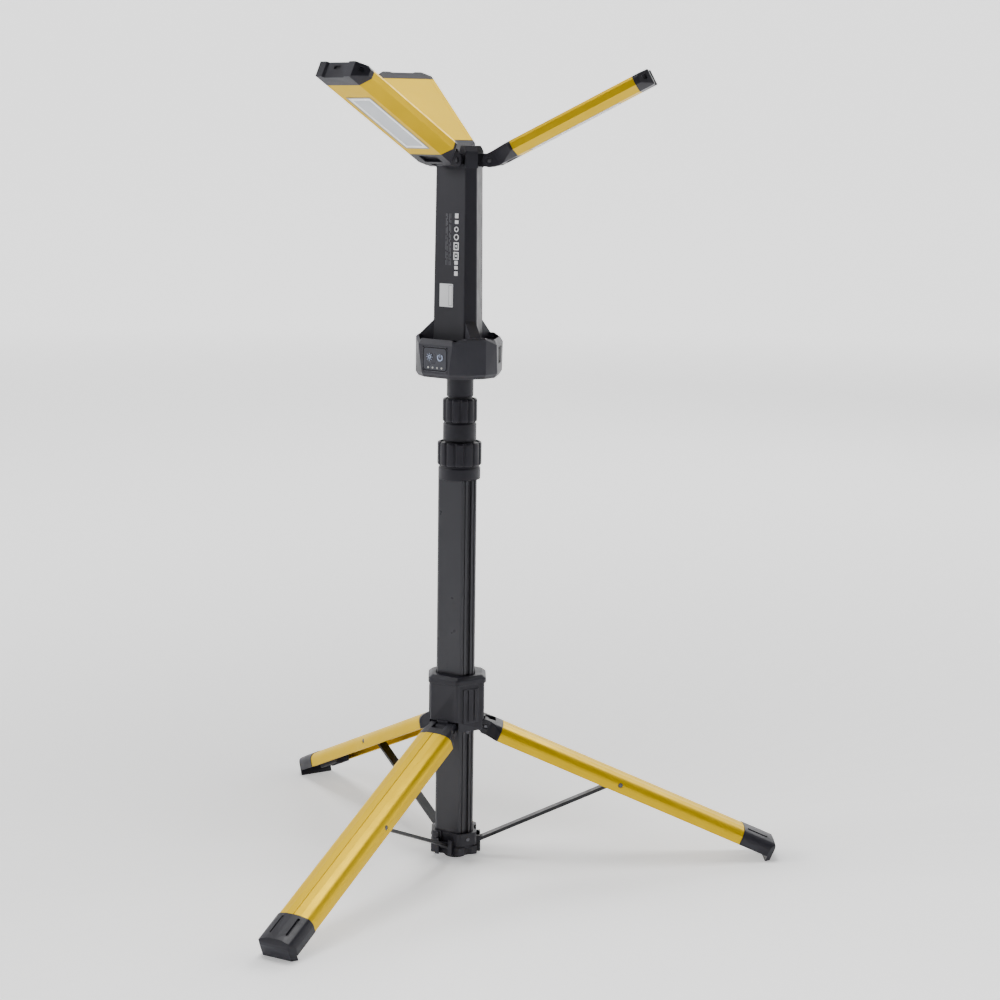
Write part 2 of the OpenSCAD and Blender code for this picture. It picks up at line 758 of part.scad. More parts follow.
// Panel with the two button holes
module control_panel() {
    front = box_flat + 0.4;
    color(black) rotate([0, 0, front_head]) difference() {
        translate([box_flat - 1.95, 0, panel_z]) rotate([90, 0, 90])
            linear_extrude(front - box_flat + 1.95) difference() {
                square([panel_w - 0.1, panel_h - 0.1], center = true);
                for (x = [-1, 1], y = [-1, 1])
                    translate([x * panel_w / 2, y * panel_h / 2]) difference() {
                        square(2 * panel_corner, center = true);
                        translate([-x * panel_corner, -y * panel_corner])
                            circle(r = panel_corner, $fn = 32);
                    }
            }
        for (side = [-1, 1]) translate([box_flat - 5, side * button_gap / 2, button_z])
            rotate([0, 90, 0]) cylinder(r = button_r + 0.08, h = 10, $fn = 48);
        // Windows of the charge lights
        for (i = [-1.5 : 1 : 1.5]) translate([box_flat - 5, i * status_gap, status_z])
            rotate([0, 90, 0]) cylinder(r = 0.9, h = 10, $fn = 24);
    }
}

// Push button on the panel
module panel_button(side) {
    color(steel) rotate([0, 0, front_head])
        translate([36.2, side * button_gap / 2, button_z]) rotate([0, 90, 0])
            cylinder(r = button_r, h = button_front - 36.2, $fn = 48);
}
module power_button() { panel_button(1); }
module level_button() { panel_button(-1); }

// Charging socket behind the port cover
module charge_socket() {
    color(steel) rotate([0, 0, right_head]) difference() {
        translate([31, -5.4, 529]) cube([7.2, 10.8, 6]);
        translate([33, -4.5, 530.4]) cube([8, 9, 3.2]);
    }
}

// Hinged cover of the charging port
module port_cover() {
    color(black) rotate([0, 0, right_head]) {
        translate([box_flat - port_depth, -port_half, port_z[0]])
            cube([port_depth + 0.1, 2 * port_half, port_z[1] - port_z[0]]);
        translate([box_flat - 0.2, -2.5, port_z[0] + 1]) cube([1, 5, 1.4]);
        translate([box_flat + 0.1, 0, port_z[1] + 0.6]) cross_rod(port_barrel_r, port_half - 0.5);
        translate([box_flat - 0.6, 0.5 - port_half, port_z[1] - 0.5])
            cube([0.7, 2 * port_half - 1, 0.9]);
    }
}

// Screws of the top cap and of the base plate
module housing_screws() {
    color(steel) rotate([0, 0, lamp_turn]) on_corners() {
        translate([18, 0, 734]) cylinder(r = 2.6, h = 2, $fn = 32);
        translate([18, 0, body_high + 0.2]) cylinder(r = 1.5, h = 14, $fn = 24);
        translate([34, 0, box_base]) cylinder(r = 1.6, h = 10, $fn = 24);
    }
}

module head_hinge_pins() {
    color(steel) rotate([0, 0, lamp_turn]) on_legs()
        translate([head_pin_r, 0, head_pin_z]) cross_rod(head_pin_rad, head_ear_half - 0.5);
}

// ---- Heads --------------------------------------------------------------------------

// Section of a head: narrow lens face below, widest near the middle, broad back above
function head_outline(d = 0) = mirrored([
    [led_face_half - 0.6 * d, led_t + d], [head_half - d, -2.2 + 0.35 * d],
    [head_half - d, 4.4 - 0.3 * d], [31 - 0.8 * d, back_t - d]]);

// Yellow aluminium channel with the lens window
module head_channel(bearing) {
    color(yellow) head_frame(bearing) difference() {
        along_x(head_cap_end, head_tip_start) polygon(head_outline());
        along_x(head_cap_end - cut, head_tip_start + cut) polygon(head_outline(head_wall));
        translate([lens_s[0], -lens_half, led_t - cut])
            cube([lens_s[1] - lens_s[0], 2 * lens_half, head_wall + 2 * cut]);
        // Fine line along each edge of the back
        for (side = [-1, 1])
            translate([head_cap_end - cut, side * back_line - 0.3, back_t - 0.3])
                cube([head_tip_start - head_cap_end + 2 * cut, 0.6, 0.3 + cut]);
    }
}

// Hinge end of a head: a fork that widens to the full section, with a plug inside
module head_root_cap(bearing) {
    color(black) head_frame(bearing) difference() {
        union() {
            intersection() {
                along_x(-head_ear_r - cut, head_cap_end) polygon(head_outline());
                across(head_half + cut) union() {
                    circle(r = head_ear_r, $fn = 48);
                    polygon([[0, -head_ear_r], [6, led_t], [head_cap_end, led_t],
                        [head_cap_end, back_t], [0, head_ear_r]]);
                }
                translate([0, 0, -20]) linear_extrude(40) polygon(turned(mirrored([
                    [head_ear_half, -head_ear_r - cut], [head_ear_half, 7],
                    [head_half, 25], [head_half, head_cap_end]]), -90));
            }
            along_x(head_cap_end - cut, head_cap_end + 8)
                polygon(head_outline(head_wall + 0.15));
        }
        translate([-20, -head_lug_half - 0.4, -20])
            cube([28.4, 2 * head_lug_half + 0.8, 40]);
        translate([12, -11, led_t - cut]) cube([12, 22, 3 + cut]);
        cross_rod(head_pin_rad + run, head_half);
    }
}

// Tip cap with cut corners, a bumper at each end of its edge and a plug inside the channel
module head_tip_cap(bearing) {
    chamfer = 11;
    bumper_in = 12;
    end_step = 2;
    recess = 5.2;
    recess_z = 1.2;
    color(black) head_frame(bearing) difference() {
        union() {
            intersection() {
                along_x(head_tip_start, head_len) polygon(head_outline());
                translate([0, 0, -20]) linear_extrude(40) polygon([
                    [head_tip_start, -head_half], [head_len - chamfer, -head_half],
                    [head_len, -head_half + chamfer], [head_len, -bumper_in - end_step],
                    [head_len - end_step, -bumper_in], [head_len - end_step, bumper_in],
                    [head_len, bumper_in + end_step], [head_len, head_half - chamfer],
                    [head_len - chamfer, head_half], [head_tip_start, head_half]]);
            }
            along_x(head_tip_start - 8, head_tip_start + cut)
                polygon(head_outline(head_wall + 0.15));
        }
        // Slot in the end and a square recess on each cut corner
        translate([head_len - end_step - 1.5, -4, 0]) cube([4, 8, 3.5]);
        for (side = [-1, 1])
            translate([head_len - chamfer / 2, side * (head_half - chamfer / 2), recess_z])
                rotate([0, 0, -45 * side]) cube([recess, 3.2, recess], center = true);
    }
}

// Diffuser lens that stands slightly proud of the lens face
module head_lens(bearing) {
    color(white) head_frame(bearing) {
        translate([lens_s[0] + 0.1, -lens_half + 0.1, led_t - 0.4])
            cube([lens_s[1] - lens_s[0] - 0.2, 2 * lens_half - 0.2, head_wall + 0.4]);
        translate([lens_s[0] - 3, -lens_half - 3, led_t + head_wall])
            cube([lens_s[1] - lens_s[0] + 6, 2 * lens_half + 6, 1]);
    }
}

// Circuit board with a grid of light-emitting diodes facing the lens
module head_led_board(bearing) {
    rows = 2;
    columns = 12;
    color(green) head_frame(bearing) {
        translate([lens_s[0], -lens_half - 2, -2.5])
            cube([lens_s[1] - lens_s[0], 2 * lens_half + 4, 1.6]);
        for (i = [0 : columns - 1], j = [0 : rows - 1])
            translate([lens_s[0] + 4 + i * (lens_s[1] - lens_s[0] - 8) / (columns - 1) - 1.4,
                (j - 0.5) * 12 - 1.4, -3.3]) cube([2.8, 2.8, 0.9]);
    }
}

module head_front_channel() { head_channel(front_head); }
module head_right_channel() { head_channel(right_head); }
module head_rear_channel() { head_channel(rear_head); }
module head_front_root_cap() { head_root_cap(front_head); }
module head_right_root_cap() { head_root_cap(right_head); }
module head_rear_root_cap() { head_root_cap(rear_head); }
module head_front_tip_cap() { head_tip_cap(front_head); }
module head_right_tip_cap() { head_tip_cap(right_head); }
module head_rear_tip_cap() { head_tip_cap(rear_head); }
module head_front_lens() { head_lens(front_head); }
module head_right_lens() { head_lens(right_head); }
module head_rear_lens() { head_lens(rear_head); }
module head_front_led_board() { head_led_board(front_head); }
module head_right_led_board() { head_led_board(right_head); }
module head_rear_led_board() { head_led_board(rear_head); }

mast_profile();
mast_end_plug();
base_ring();
mast_screws();
lower_lock_ferrule();
slide_collar();
collar_top_rim();
leg_hinge_pins();
leg_front_channel();
leg_front_root_cap();
leg_front_foot();
leg_front_strut_pin();
leg_right_channel();
leg_right_root_cap();
leg_right_foot();
leg_right_strut_pin();
leg_rear_channel();
leg_rear_root_cap();
leg_rear_foot();
leg_rear_strut_pin();
strut_front();
strut_right();
strut_rear();
lower_lock_collar();
middle_tube();
middle_tube_bush();
upper_lock_ferrule();
upper_lock_collar();
upper_tube();
upper_tube_bush();
head_spigot();
lamp_housing();
control_box();
box_base_plate();
top_cap();
battery_cells();
battery_frame();
control_board();
control_panel();
charge_socket();
housing_screws();
head_hinge_pins();
power_button();
level_button();
port_cover();
head_front_channel();
head_front_root_cap();
head_front_tip_cap();
head_front_lens();
head_front_led_board();
head_right_channel();
head_right_root_cap();
head_right_tip_cap();
head_right_lens();
head_right_led_board();
head_rear_channel();
head_rear_root_cap();
head_rear_tip_cap();
head_rear_lens();
head_rear_led_board();
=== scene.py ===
import json
import math

import bmesh
import bpy
from mathutils import Matrix, Vector


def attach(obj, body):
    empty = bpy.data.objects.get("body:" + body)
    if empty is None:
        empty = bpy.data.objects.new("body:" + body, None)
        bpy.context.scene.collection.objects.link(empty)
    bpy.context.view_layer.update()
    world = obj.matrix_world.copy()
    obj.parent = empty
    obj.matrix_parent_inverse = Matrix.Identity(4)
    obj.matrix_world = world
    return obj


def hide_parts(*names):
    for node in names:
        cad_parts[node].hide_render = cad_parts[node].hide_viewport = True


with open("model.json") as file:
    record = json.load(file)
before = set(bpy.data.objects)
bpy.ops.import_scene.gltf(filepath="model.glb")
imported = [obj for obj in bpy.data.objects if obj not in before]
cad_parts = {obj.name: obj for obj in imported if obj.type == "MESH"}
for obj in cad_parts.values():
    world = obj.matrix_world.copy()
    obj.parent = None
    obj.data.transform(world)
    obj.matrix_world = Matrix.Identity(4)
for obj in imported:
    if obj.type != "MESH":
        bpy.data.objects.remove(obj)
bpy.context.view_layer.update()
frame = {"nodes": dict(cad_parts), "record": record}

MM = 0.001
UP = Vector((0, 0, 1))
JOINTS = {j["name"]: j for j in frame["record"]["behaviour"]["joints"]}
BODY_OF = {n: b for b, nodes in frame["record"]["behaviour"]["bodies"].items() for n in nodes}
SLOT_OF = {s["node"]: s["material_slot"] for s in frame["record"]["subparts"]}
SPOKES = ("front", "right", "rear")

# Camera, in metres and degrees, in the frame of the part
CAMERA_DISTANCE = 2.13798
CAMERA_HEIGHT = 0.75535
CAMERA_BEARING = -0.535
CAMERA_YAW = 1.133
CAMERA_PITCH = 9.904
CAMERA_ROLL = 0.795
CAMERA_LENS = 75.77
CAMERA_SENSOR = 36
CAMERA_CLIP = (0.05, 50)

# Stage, in metres: its glow and grey run from near to far along Y, over the span below each
STAGE_GLOW = (0.0, 1.2)
GLOW_SPAN = (-4.0, 7.0)
STAGE_GREY = (0.50, 0.88)
GREY_SPAN = (-6.0, -1.5)
FLOOR_RADIUS = 6.0
FLOOR_CURVE = 2.5
FLOOR_DROP = 0.0002
WALL_TOP = 9.0
PAPER = 0.02

# Sky and soft lights: (name, place, size, power), all turned to one point
WORLD_STRENGTH = 0.10
LIGHTS_AIM = (0, 0, 0.45)
LIGHTS = (
    ("key", (-3.0, -0.2, 1.7), 1.2, 46),
    ("back", (1.2, 2.6, 2.2), 1.4, 40),
    ("side", (2.6, 0.5, 1.2), 1.0, 9),
    ("top", (-0.3, 0.5, 3.2), 1.4, 88),
)

# Heads: rise at rest in degrees, and middle of the lens face in the frame of a head, in metres
HEAD_RISE = 28
LENS_MIDDLE = (0.090, 0, -0.009)

# Legs: strut pin from the hinge, in metres, and corners of the mast between them, in degrees
STRUT_PIN_AT = 0.155
CORNERS = (60, 180, 300)


# ---- Places -------------------------------------------------------------------------

def turn(axis, degrees):
    """Rotation about a named axis, by degrees."""
    return Matrix.Rotation(math.radians(degrees), 4, axis)


def basis(origin, x, y):
    """Matrix with its origin at a point, X and Y along two directions and Z square to both."""
    x = Vector(x).normalized()
    y = Vector(y).normalized()
    m = Matrix((x, y, x.cross(y))).transposed().to_4x4()
    return Matrix.Translation(origin) @ m


def leg_frame(spoke):
    """Frame of a leg: origin at its hinge, X down along it, Y along the hinge pin."""
    hinge = JOINTS[f"leg_{spoke}_hinge"]
    pivot = Vector(JOINTS[f"strut_{spoke}_hinge"]["pos_m"])
    origin = Vector(hinge["pos_m"])
    return basis(origin, pivot - origin, hinge["axis"])


def head_frame(spoke):
    """Frame of a head: origin at its hinge, X out along it, Z out of its back."""
    hinge = JOINTS[f"head_{spoke}_hinge"]
    y = Vector(hinge["axis"])
    out = y.cross(UP)
    rise = math.radians(HEAD_RISE)
    return basis(Vector(hinge["pos_m"]), out * math.cos(rise) + UP * math.sin(rise), y)


def lamp_side(spoke):
    """Frame of a main face of the lamp: origin on the mast axis at floor level, X out of it."""
    y = Vector(JOINTS[f"head_{spoke}_hinge"]["axis"])
    return basis(Vector((0, 0, 0)), y.cross(UP), y)


def moved(place, x=0.0, y=0.0, z=0.0):
    """Place moved along its own axes, in millimetres."""
    return place @ Matrix.Translation(Vector((x, y, z)) * MM)


# A frame whose Z points along the X of another, with its X sideways and its Y up
FACING = Matrix(((0, 0, 1, 0), (1, 0, 0, 0), (0, 1, 0, 0), (0, 0, 0, 1)))


def on_face(place, out, side, height):
    """Frame on an outward face: X sideways, Y up, Z out. Distances are in millimetres."""
    return moved(place, out, side, height) @ FACING


# ---- Camera -------------------------------------------------------------------------

def add_camera():
    """Camera at the viewing angle of the reference view."""
    yaw, pitch, roll = (math.radians(a) for a in (CAMERA_YAW, CAMERA_PITCH, CAMERA_ROLL))
    ahead = Vector((math.sin(yaw), math.cos(yaw), 0))
    right = Vector((math.cos(yaw), -math.sin(yaw), 0))
    above = ahead * math.sin(pitch) + UP * math.cos(pitch)
    x = right * math.cos(roll) + above * math.sin(roll)
    y = above * math.cos(roll) - right * math.sin(roll)
    data = bpy.data.cameras.new("camera")
    data.lens = CAMERA_LENS
    data.sensor_width = CAMERA_SENSOR
    data.clip_start, data.clip_end = CAMERA_CLIP
    camera = bpy.data.objects.new("camera", data)
    bpy.context.scene.collection.objects.link(camera)
    place = basis(Vector((0, -CAMERA_DISTANCE, CAMERA_HEIGHT)), x, y)
    camera.matrix_world = turn("Z", CAMERA_BEARING) @ place
    bpy.context.scene.camera = camera


add_camera()


# ---- Materials ----------------------------------------------------------------------

class Shader:
    """Node tree of one material, with a Principled surface."""

    def __init__(self, name):
        """New material. Its textures follow the coordinates of the object."""
        self.material = bpy.data.materials.new(name)
        self.material.use_nodes = True
        self.tree = self.material.node_tree
        self.surface = self.tree.nodes["Principled BSDF"]
        self.coords = self.add("ShaderNodeTexCoord").outputs["Object"]

    def add(self, kind, **values):
        """New node of a kind, with its settings."""
        node = self.tree.nodes.new(kind)
        for key, value in values.items():
            setattr(node, key, value)
        return node

    def link(self, source, target):
        """Link from an output to an input."""
        self.tree.links.new(source, target)

    def set(self, **values):
        """Plain values of surface inputs, with _ for the spaces in their names."""
        for key, value in values.items():
            self.surface.inputs[key.replace("_", " ")].default_value = value

    def noise(self, scale, detail=3.0, stretch=(1, 1, 1)):
        """Noise over the object, stretched along the axes."""
        mapping = self.add("ShaderNodeMapping")
        mapping.inputs["Scale"].default_value = stretch
        self.link(self.coords, mapping.inputs["Vector"])
        noise = self.add("ShaderNodeTexNoise")
        noise.inputs["Scale"].default_value = scale
        noise.inputs["Detail"].default_value = detail
        self.link(mapping.outputs["Vector"], noise.inputs["Vector"])
        return noise.outputs["Fac"]

    def blend_colours(self, factor, dark, light, low=0.3, high=0.7):
        """Colour that runs from dark to light as the factor rises."""
        ramp = self.add("ShaderNodeValToRGB")
        ramp.color_ramp.elements[0].position = low
        ramp.color_ramp.elements[0].color = (*dark, 1)
        ramp.color_ramp.elements[1].position = high
        ramp.color_ramp.elements[1].color = (*light, 1)
        self.link(factor, ramp.inputs["Fac"])
        return ramp.outputs["Color"]

    def vary_roughness(self, factor, low, high):
        """Roughness between two values, led by a noise."""
        spread = self.add("ShaderNodeMapRange")
        spread.inputs["From Min"].default_value = 0.3
        spread.inputs["From Max"].default_value = 0.7
        spread.inputs["To Min"].default_value = low
        spread.inputs["To Max"].default_value = high
        self.link(factor, spread.inputs["Value"])
        self.link(spread.outputs["Result"], self.surface.inputs["Roughness"])

    def bump(self, height, distance):
        """Relief of a height, in metres."""
        bump = self.add("ShaderNodeBump")
        bump.inputs["Distance"].default_value = distance
        bump.inputs["Strength"].default_value = 1.0
        self.link(height, bump.inputs["Height"])
        self.link(bump.outputs["Normal"], self.surface.inputs["Normal"])

    def paint(self, colour):
        """Base colour from an output."""
        self.link(colour, self.surface.inputs["Base Color"])


def scaled(colour, factor):
    """Colour made lighter or darker by a factor."""
    return tuple(min(1.0, c * factor) for c in colour)


def textured(name, colour, roughness, grain=2200, depth=0.05, metallic=0.0, spread=0.12,
             specular=0.5):
    """Finish with a slight colour drift, uneven gloss and a fine surface grain."""
    s = Shader(name)
    drift = s.noise(9.0, 4.0)
    grain_noise = s.noise(grain, 2.0)
    s.paint(s.blend_colours(drift, scaled(colour, 1 - spread), scaled(colour, 1 + spread)))
    s.vary_roughness(s.noise(35.0, 3.0), roughness - 0.05, roughness + 0.06)
    s.bump(grain_noise, depth * MM)
    s.set(Metallic=metallic, Specular_IOR_Level=specular)
    return s.material


# Pointiness at which an edge starts to look rubbed and is fully rubbed, and how much it is then
RUB_START = 0.52
RUB_END = 0.60
RUB_MOST = 0.6

# Sockets of a Mix node that mixes colours
MIX_A = 6
MIX_B = 7
MIX_RESULT = 2


def worn(name, colour, edge, roughness, grain, depth, specular=0.5, metallic=0.0,
         stretch=(1, 1, 1)):
    """Textured finish whose sharp edges are rubbed a little lighter."""
    s = Shader(name)
    drift = s.noise(12.0, 4.0)
    base = s.blend_colours(drift, scaled(colour, 0.86), scaled(colour, 1.14))
    edges = s.add("ShaderNodeNewGeometry").outputs["Pointiness"]
    rub = s.add("ShaderNodeMapRange")
    rub.inputs["From Min"].default_value = RUB_START
    rub.inputs["From Max"].default_value = RUB_END
    rub.inputs["To Max"].default_value = RUB_MOST
    s.link(edges, rub.inputs["Value"])
    mix = s.add("ShaderNodeMix", data_type="RGBA")
    s.link(rub.outputs["Result"], mix.inputs["Factor"])
    s.link(base, mix.inputs[MIX_A])
    mix.inputs[MIX_B].default_value = (*edge, 1)
    s.paint(mix.outputs[MIX_RESULT])
    s.vary_roughness(s.noise(60.0, 3.0), roughness - 0.05, roughness + 0.07)
    s.bump(s.noise(grain, 2.0, stretch), depth * MM)
    s.set(Metallic=metallic, Specular_IOR_Level=specular)
    return s.material


def frosted(name):
    """Milky lens plastic."""
    s = Shader(name)
    s.paint(s.blend_colours(s.noise(14.0), (0.70, 0.74, 0.80), (0.80, 0.84, 0.90)))
    s.bump(s.noise(1400.0, 1.0), 0.01 * MM)
    s.vary_roughness(s.noise(40.0), 0.16, 0.24)
    s.set(Transmission_Weight=0.42, IOR=1.46)
    return s.material


def glowing(name, colour, strength):
    """Printed icon or indicator that is lit from behind."""
    s = Shader(name)
    s.paint(s.blend_colours(s.noise(60.0), scaled(colour, 0.9), colour))
    s.vary_roughness(s.noise(80.0), 0.35, 0.45)
    s.set(Emission_Color=(*colour, 1), Emission_Strength=strength)
    return s.material


def make_materials():
    """All materials, by name."""
    drawn = (1, 1, 0.02)
    return {
        "yellow_aluminium": textured("yellow_aluminium", (0.64, 0.42, 0.0005), 0.46, 3200, 0.018,
                                     metallic=0.75, spread=0.03, specular=0.08),
        "black_plastic": worn("black_plastic", (0.013, 0.0125, 0.018), (0.04, 0.04, 0.05), 0.42,
                              2600, 0.04, specular=0.25),
        "black_anodised": worn("black_anodised", (0.011, 0.011, 0.014), (0.05, 0.05, 0.058), 0.32,
                               2400, 0.02, specular=0.3, metallic=0.2, stretch=drawn),
        "zinc_steel": textured("zinc_steel", (0.50, 0.51, 0.53), 0.32, 1500, 0.02, metallic=1.0),
        "dark_steel": textured("dark_steel", (0.09, 0.09, 0.10), 0.34, 1500, 0.02, metallic=0.9),
        "black_rubber": textured("black_rubber", (0.016, 0.016, 0.017), 0.74, 1800, 0.07,
                                 specular=0.35),
        # Near-black finish, also laid as a thin ring of painted shadow around the control panel
        "dark_gap": textured("dark_gap", (0.003, 0.003, 0.004), 0.8, 900, 0.01, specular=0.05),
        "diffuser": frosted("diffuser"),
        "lens_rim": textured("lens_rim", (0.22, 0.21, 0.20), 0.4, 1400, 0.01, specular=0.5),
        "reflector": textured("reflector", (0.82, 0.84, 0.87), 0.3, 900, 0.01, specular=0.6),
        "led_chip": textured("led_chip", (0.80, 0.72, 0.30), 0.3, 1200, 0.01, spread=0.05),
        "circuit_board": textured("circuit_board", (0.02, 0.13, 0.05), 0.4, 700, 0.03),
        "cell_wrap": textured("cell_wrap", (0.05, 0.16, 0.5), 0.3, 600, 0.02),
        "frame_plastic": textured("frame_plastic", (0.62, 0.62, 0.59), 0.5, 1600, 0.03),
        "button_face": textured("button_face", (0.036, 0.037, 0.048), 0.3, 3000, 0.008,
                                specular=0.4),
        "icon_light": glowing("icon_light", (0.30, 0.36, 0.52), 0.22),
        "dot_light": glowing("dot_light", (0.42, 0.42, 0.40), 0.12),
        "print_grey": textured("print_grey", (0.10, 0.10, 0.115), 0.5, 2500, 0.01),
        "label_white": textured("label_white", (0.60, 0.60, 0.62), 0.5, 2500, 0.01),
    }


MATERIALS = make_materials()


# ---- Mesh tools ---------------------------------------------------------------------

# Copies of CAD meshes: vertices closer than WELD metres are merged, faces within FLAT degrees
# become one, and edges above CRISP degrees stay sharp
WELD = 2e-6
FLAT = 0.6
CRISP = 22


def finish_piece(mesh, name, body, material, replaces=(), bevel=0.0, segments=2,
                 angle=30, crisp=None):
    """Object for a finished mesh: shaded by angle, bevelled, riding on its body."""
    obj = bpy.data.objects.new(name, mesh)
    bpy.context.scene.collection.objects.link(obj)
    mesh.materials.clear()
    mesh.materials.append(MATERIALS[material])
    mesh.shade_smooth()
    mesh.set_sharp_from_angle(angle=math.radians(crisp or angle))
    if bevel:
        mod = obj.modifiers.new("soft_edges", "BEVEL")
        mod.width = bevel * MM
        mod.segments = segments
        mod.limit_method = "ANGLE"
        mod.angle_limit = math.radians(angle)
        mod.harden_normals = True
        mod.miter_outer = "MITER_ARC"
        flats = obj.modifiers.new("flat_faces", "WEIGHTED_NORMAL")
        flats.weight = 80
        flats.keep_sharp = True
    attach(obj, body)
    if replaces:
        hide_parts(*replaces)
    return obj


def from_bmesh(bm, name):
    """Mesh with its faces turned outwards. The bmesh is freed."""
    bmesh.ops.recalc_face_normals(bm, faces=bm.faces)
    mesh = bpy.data.meshes.new(name)
    bm.to_mesh(mesh)
    bm.free()
    return mesh


def piece(bm, name, body, material, replaces=(), bevel=0.0, angle=30):
    """Finished object made from a bmesh."""
    return finish_piece(from_bmesh(bm, name), name, body, material, replaces, bevel,
                        angle=angle)


def soften(node, bevel, segments=2, angle=30):
    """Copy of a CAD node with merged flats and rounded edges, which stands for the node."""
    bm = bmesh.new()
    bm.from_mesh(frame["nodes"][node].data)
    bmesh.ops.remove_doubles(bm, verts=bm.verts, dist=WELD)
    bmesh.ops.dissolve_limit(bm, angle_limit=math.radians(FLAT), verts=bm.verts, edges=bm.edges)
    name = f"{node}_shell"
    return finish_piece(from_bmesh(bm, name), name, BODY_OF[node], SLOT_OF[node], (node,),
                        bevel=bevel, segments=segments, angle=angle, crisp=CRISP)


def millimetres(points):
    """Points given in millimetres, turned into metres."""
    return [(x * MM, y * MM) for x, y in points]


def fillet(points, radius, steps=4, closed=True):
    """Rounds the corners of a polyline of 2D points. A radius of 0 leaves a corner sharp."""
    radii = radius if isinstance(radius, (list, tuple)) else [radius] * len(points)
    out = []
    count = len(points)
    for i, point in enumerate(points):
        p = Vector(point)
        if radii[i] <= 0 or (not closed and i in (0, count - 1)):
            out.append(p)
            continue
        before, after = Vector(points[i - 1]) - p, Vector(points[(i + 1) % count]) - p
        half = before.angle(after) / 2
        back = min(radii[i] / math.tan(half), before.length * 0.49, after.length * 0.49)
        start, end = p + before.normalized() * back, p + after.normalized() * back
        for k in range(steps + 1):
            t = k / steps
            out.append(start * (1 - t) ** 2 + p * 2 * t * (1 - t) + end * t ** 2)
    return [(v.x, v.y) for v in out]


def rounded_rectangle(w, h, radius, steps=6):
    """Outline of a rectangle around the origin, with rounded corners."""
    return fillet([(-w / 2, -h / 2), (w / 2, -h / 2), (w / 2, h / 2), (-w / 2, h / 2)],
                  radius, steps)


def circle(r, count):
    """Outline of a circle around the origin."""
    return [(r * math.cos(2 * math.pi * i / count), r * math.sin(2 * math.pi * i / count))
            for i in range(count)]


def lathe(bm, profile, place=Matrix(), segments=96, closed=True, radius=None):
    """Turns a profile of (radius, height) points in metres about Z.

    An open profile gets a flat cap at either end. The radius function may flute the piece.
    """
    rings = []
    for r, z in profile:
        ring = []
        for i in range(segments):
            a = 2 * math.pi * i / segments
            rr = radius(r, z, a) if radius else r
            ring.append(bm.verts.new(place @ Vector((rr * math.cos(a), rr * math.sin(a), z))))
        rings.append(ring)
    count = len(rings)
    for k in range(count if closed else count - 1):
        low, high = rings[k], rings[(k + 1) % count]
        for i in range(segments):
            j = (i + 1) % segments
            bm.faces.new((low[i], low[j], high[j], high[i]))
    if not closed:
        bm.faces.new(rings[0][::-1])
        bm.faces.new(rings[-1])


def turned(name, body, material, profile, replaces, place=Matrix(), segments=96, edge=0.4,
           closed=True):
    """Turned piece from a profile in millimetres, with rounded edges."""
    bm = bmesh.new()
    points = millimetres(fillet(profile, edge, closed=closed))
    lathe(bm, points, place, segments, closed)
    return piece(bm, name, body, material, replaces, angle=40)


def sleeve(name, body, material, node, inner, outer, low, high, edge):
    """Plain tube from its two radii and the heights of its ends, in millimetres."""
    profile = [(inner, low), (outer, low), (outer, high), (inner, high)]
    return turned(name, body, material, profile, (node,), edge=edge)


def prism(bm, outline, low, high, place):
    """Extrudes a closed outline between two heights along Z, all in millimetres."""
    bottom = [bm.verts.new(place @ Vector((x * MM, y * MM, low * MM))) for x, y in outline]
    top = [bm.verts.new(place @ Vector((x * MM, y * MM, high * MM))) for x, y in outline]
    count = len(outline)
    for i in range(count):
        j = (i + 1) % count
        bm.faces.new((bottom[i], bottom[j], top[j], top[i]))
    bm.faces.new(bottom[::-1])
    bm.faces.new(top)


def closed_loops(bm, outlines, place):
    """Closed skin through four outlines with equally many points, each with its height."""
    loops = []
    for outline, z in outlines:
        loops.append([bm.verts.new(place @ Vector((x * MM, y * MM, z * MM)))
                      for x, y in outline])
    for k in range(4):
        a, b = loops[k], loops[(k + 1) % 4]
        for i in range(len(a)):
            j = (i + 1) % len(a)
            bm.faces.new((a[i], a[j], b[j], b[i]))


def band(bm, outer, inner, low, high, place):
    """Closed band between two outlines with equally many points, in millimetres."""
    closed_loops(bm, ((outer, low), (outer, high), (inner, high), (inner, low)), place)


# ---- Fasteners ----------------------------------------------------------------------

PIN_RADIUS = 2.5


def screw_head(bm, r, height, place):
    """Pan head with a cross recess: a turned cap, and four raised quadrants around the cross."""
    cap = [(r * 0.9, 0), (r, 0.3 * height), (r * 0.96, 0.62 * height),
           (r * 0.8, 0.86 * height), (r * 0.62, 0.9 * height)]
    lathe(bm, millimetres(cap), place, 32, closed=False)
    wide, slot_half = r * 0.55, r * 0.13
    quadrant = [(slot_half, slot_half), (wide, slot_half), (wide * 0.72, wide * 0.72),
                (slot_half, wide)]
    for k in range(4):
        prism(bm, quadrant, 0.8 * height, 1.04 * height, place @ turn("Z", 90 * k))


def screws(name, body, heads, replaces):
    """Group of screws: (radius, height, place of the head, shank radius, shank length)."""
    bm = bmesh.new()
    for r, height, place, shank_r, shank in heads:
        screw_head(bm, r, height, place)
        lathe(bm, millimetres([(shank_r, -shank), (shank_r, 0.01)]), place, 20, closed=False)
    return piece(bm, name, body, "dark_steel", replaces, angle=35)


def pins(name, body, places, half, replaces):
    """Group of hinge pins with domed ends, along the Y of each place."""
    bm = bmesh.new()
    r = PIN_RADIUS
    profile = [(0.4 * r, -half), (0.85 * r, -half + 0.1), (r, -half + 0.5), (r, half - 0.5),
               (0.85 * r, half - 0.1), (0.4 * r, half)]
    for place in places:
        lathe(bm, millimetres(profile), place @ turn("X", 90), 32, closed=False)
    return piece(bm, name, body, "dark_steel", replaces, angle=50)


# ---- Mast, base and collar ----------------------------------------------------------

